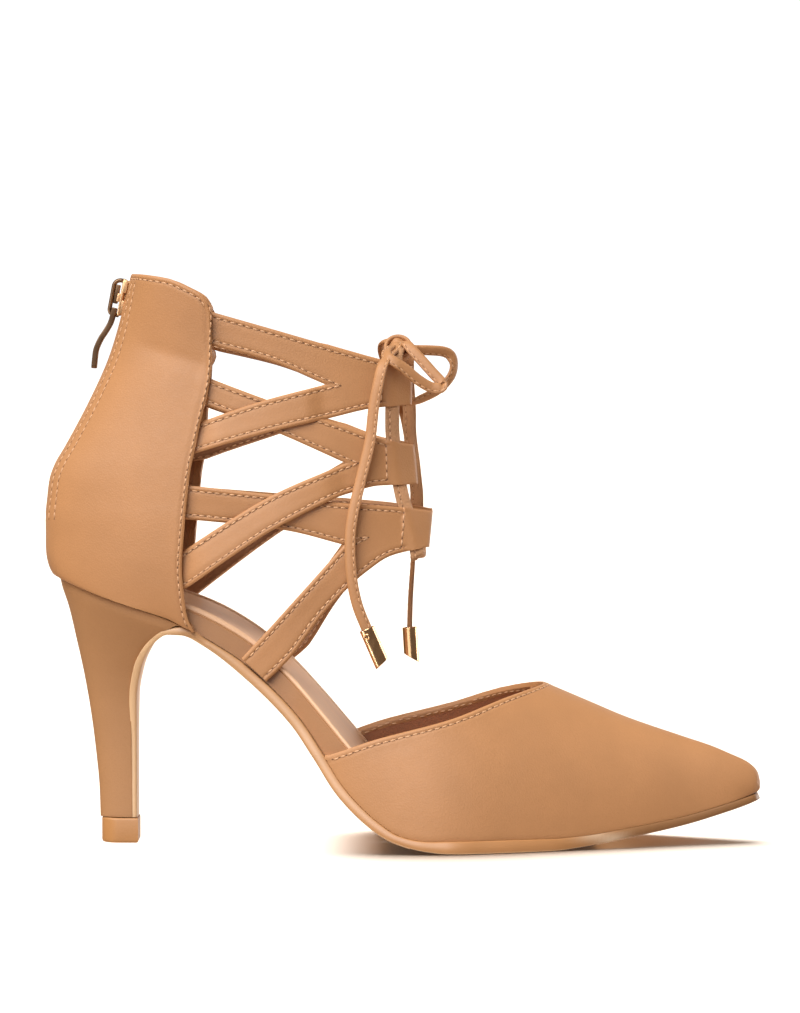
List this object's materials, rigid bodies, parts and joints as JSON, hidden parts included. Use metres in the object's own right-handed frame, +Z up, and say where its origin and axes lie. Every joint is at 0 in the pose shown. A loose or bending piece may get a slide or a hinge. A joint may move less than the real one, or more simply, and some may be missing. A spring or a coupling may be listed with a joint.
{
  "type": "lace-up pump shoe",
  "caption": "High-heeled pointed pump with an open waist, a high zipped back, a lattice of ankle straps and a lace tied in a bow at the front.",
  "frame": {"origin": "on the floor, under the middle of the shoe's length and width", "axes": "+X to the toe, +Y to the medial side, +Z up"},
  "size_m": [0.2398, 0.076, 0.1904],
  "materials": {
    "tan_leather": "matt, fine-grained",
    "insole_leather": "satin",
    "sole_rubber": "satin",
    "tip_rubber": "satin",
    "zip_tape": "woven",
    "gold_metal": "polished",
    "bronze_metal": "satin"
  },
  "bodies": {
    "shoe": {"outsole": "sole_rubber", "heel": "tan_leather", "heel_tip": "tip_rubber", "insole": "insole_leather", "vamp": "tan_leather", "counter": "tan_leather", "ankle_straps_outer": "tan_leather", "ankle_straps_inner": "tan_leather", "zip": "zip_tape", "zip_slider": "gold_metal", "lace": "tan_leather", "lace_knot": "tan_leather", "lace_loop_near": "tan_leather", "lace_loop_far": "tan_leather", "lace_end_near": "tan_leather", "lace_end_far": "tan_leather", "aglet_near": "gold_metal", "aglet_far": "gold_metal"},
    "pull": {"zip_pull": "bronze_metal"}
  },
  "joints": [
    {"name": "pull_swing", "type": "hinge", "parent": "shoe", "child": "pull", "pos_m": [-0.0967, 0, 0.1784], "axis": [0, 1, 0], "range_deg": [0, 115]}
  ]
}
